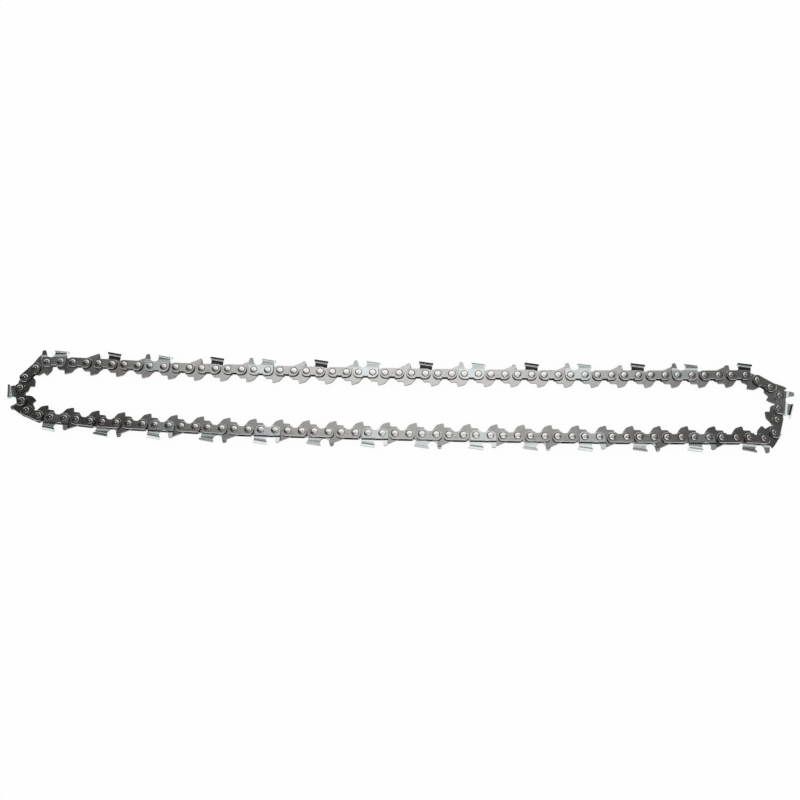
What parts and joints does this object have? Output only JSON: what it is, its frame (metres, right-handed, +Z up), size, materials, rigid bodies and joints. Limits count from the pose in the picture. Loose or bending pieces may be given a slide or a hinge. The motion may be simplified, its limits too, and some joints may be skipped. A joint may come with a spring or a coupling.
{
  "type": "chainsaw chain loop",
  "caption": "Closed loop of low-profile chainsaw chain lying on its side: drive links with tangs, tie straps, left and right cutters with depth gauges, and rivets.",
  "frame": {"origin": "middle of the loop's box, on the surface that the chain lies on", "axes": "+X along the loop, +Y across it to the upper run, +Z up along the rivets"},
  "size_m": [0.5512, 0.0718, 0.0051],
  "materials": {
    "drive_steel": "tumbled bare steel, warm grey",
    "strap_steel": "tumbled bare steel, neutral grey",
    "cutter_chrome": "thin hard chrome, satin, bluish",
    "rivet_steel": "spun bright steel heads"
  },
  "bodies": {
    "upper_run_1": {"upper_run_1_drive_links": "drive_steel", "upper_run_1_tie_straps": "strap_steel", "upper_run_1_left_cutters": "cutter_chrome", "upper_run_1_right_cutters": "cutter_chrome", "upper_run_1_rivets": "rivet_steel"},
    "upper_run_2": {"upper_run_2_drive_links": "drive_steel", "upper_run_2_tie_straps": "strap_steel", "upper_run_2_left_cutters": "cutter_chrome", "upper_run_2_right_cutters": "cutter_chrome", "upper_run_2_rivets": "rivet_steel"},
    "upper_run_3": {"upper_run_3_drive_links": "drive_steel", "upper_run_3_tie_straps": "strap_steel", "upper_run_3_left_cutters": "cutter_chrome", "upper_run_3_right_cutters": "cutter_chrome", "upper_run_3_rivets": "rivet_steel"},
    "upper_run_4": {"upper_run_4_drive_links": "drive_steel", "upper_run_4_tie_straps": "strap_steel", "upper_run_4_left_cutters": "cutter_chrome", "upper_run_4_right_cutters": "cutter_chrome", "upper_run_4_rivets": "rivet_steel"},
    "upper_run_5": {"upper_run_5_drive_links": "drive_steel", "upper_run_5_tie_straps": "strap_steel", "upper_run_5_left_cutters": "cutter_chrome", "upper_run_5_right_cutters": "cutter_chrome", "upper_run_5_rivets": "rivet_steel"},
    "right_end": {"right_end_drive_links": "drive_steel", "right_end_tie_straps": "strap_steel", "right_end_left_cutters": "cutter_chrome", "right_end_right_cutters": "cutter_chrome", "right_end_rivets": "rivet_steel"},
    "lower_run_5": {"lower_run_5_drive_links": "drive_steel", "lower_run_5_tie_straps": "strap_steel", "lower_run_5_left_cutters": "cutter_chrome", "lower_run_5_right_cutters": "cutter_chrome", "lower_run_5_rivets": "rivet_steel"},
    "lower_run_4": {"lower_run_4_drive_links": "drive_steel", "lower_run_4_tie_straps": "strap_steel", "lower_run_4_left_cutters": "cutter_chrome", "lower_run_4_right_cutters": "cutter_chrome", "lower_run_4_rivets": "rivet_steel"},
    "lower_run_3": {"lower_run_3_drive_links": "drive_steel", "lower_run_3_tie_straps": "strap_steel", "lower_run_3_left_cutters": "cutter_chrome", "lower_run_3_right_cutters": "cutter_chrome", "lower_run_3_rivets": "rivet_steel"},
    "lower_run_2": {"lower_run_2_drive_links": "drive_steel", "lower_run_2_tie_straps": "strap_steel", "lower_run_2_left_cutters": "cutter_chrome", "lower_run_2_right_cutters": "cutter_chrome", "lower_run_2_rivets": "rivet_steel"},
    "lower_run_1": {"lower_run_1_drive_links": "drive_steel", "lower_run_1_tie_straps": "strap_steel", "lower_run_1_left_cutters": "cutter_chrome", "lower_run_1_right_cutters": "cutter_chrome", "lower_run_1_rivets": "rivet_steel"},
    "left_end": {"left_end_drive_links": "drive_steel", "left_end_tie_straps": "strap_steel", "left_end_left_cutters": "cutter_chrome", "left_end_right_cutters": "cutter_chrome", "left_end_rivets": "rivet_steel"}
  },
  "joints": [
    {"name": "left_sway", "type": "hinge", "parent": "lower_run_3", "child": "lower_run_2", "pos_m": [-0.01755, -0.02588, 0.00255], "axis": [0, 0, 1], "range_deg": [-12, 12]},
    {"name": "left_sway_lower_return", "type": "hinge", "parent": "lower_run_2", "child": "lower_run_1", "pos_m": [-0.11065, -0.02588, 0.00255], "axis": [0, 0, 1], "range_deg": [-12, 12]},
    {"name": "end_rock", "type": "hinge", "parent": "lower_run_1", "child": "left_end", "pos_m": [-0.20372, -0.02344, 0.00255], "axis": [0, 0, 1], "range_deg": [-10, 10]},
    {"name": "end_rock_left_return", "type": "hinge", "parent": "left_end", "child": "upper_run_1", "pos_m": [-0.24022, 0.0224, 0.00255], "axis": [0, 0, 1], "range_deg": [-10, 10]},
    {"name": "left_sway_upper", "type": "hinge", "parent": "upper_run_1", "child": "upper_run_2", "pos_m": [-0.14716, 0.01996, 0.00255], "axis": [0, 0, 1], "range_deg": [-12, 12]},
    {"name": "left_sway_upper_return", "type": "hinge", "parent": "upper_run_2", "child": "upper_run_3", "pos_m": [-0.05406, 0.01996, 0.00255], "axis": [0, 0, 1], "range_deg": [-12, 12]},
    {"name": "right_sway", "type": "hinge", "parent": "lower_run_3", "child": "lower_run_4", "pos_m": [0.05692, -0.02523, 0.00255], "axis": [0, 0, 1], "range_deg": [-12, 12]},
    {"name": "right_sway_lower_return", "type": "hinge", "parent": "lower_run_4", "child": "lower_run_5", "pos_m": [0.15001, -0.0236, 0.00255], "axis": [0, 0, 1], "range_deg": [-12, 12]},
    {"name": "end_rock_right", "type": "hinge", "parent": "lower_run_5", "child": "right_end", "pos_m": [0.24308, -0.02117, 0.00255], "axis": [0, 0, 1], "range_deg": [-10, 10]},
    {"name": "end_rock_right_return", "type": "hinge", "parent": "right_end", "child": "upper_run_5", "pos_m": [0.20658, 0.02467, 0.00255], "axis": [0, 0, 1], "range_deg": [-10, 10]},
    {"name": "right_sway_upper", "type": "hinge", "parent": "upper_run_5", "child": "upper_run_4", "pos_m": [0.11351, 0.02224, 0.00255], "axis": [0, 0, 1], "range_deg": [-12, 12]}
  ],
  "couplings": [
    {"joint": "left_sway_lower_return", "follows": "left_sway", "ratio": -1},
    {"joint": "end_rock_left_return", "follows": "end_rock", "ratio": -1},
    {"joint": "left_sway_upper", "follows": "left_sway", "ratio": 1},
    {"joint": "left_sway_upper_return", "follows": "left_sway", "ratio": -1},
    {"joint": "right_sway_lower_return", "follows": "right_sway", "ratio": -1},
    {"joint": "end_rock_right", "follows": "end_rock", "ratio": 1},
    {"joint": "end_rock_right_return", "follows": "end_rock", "ratio": -1},
    {"joint": "right_sway_upper", "follows": "right_sway", "ratio": 1}
  ]
}
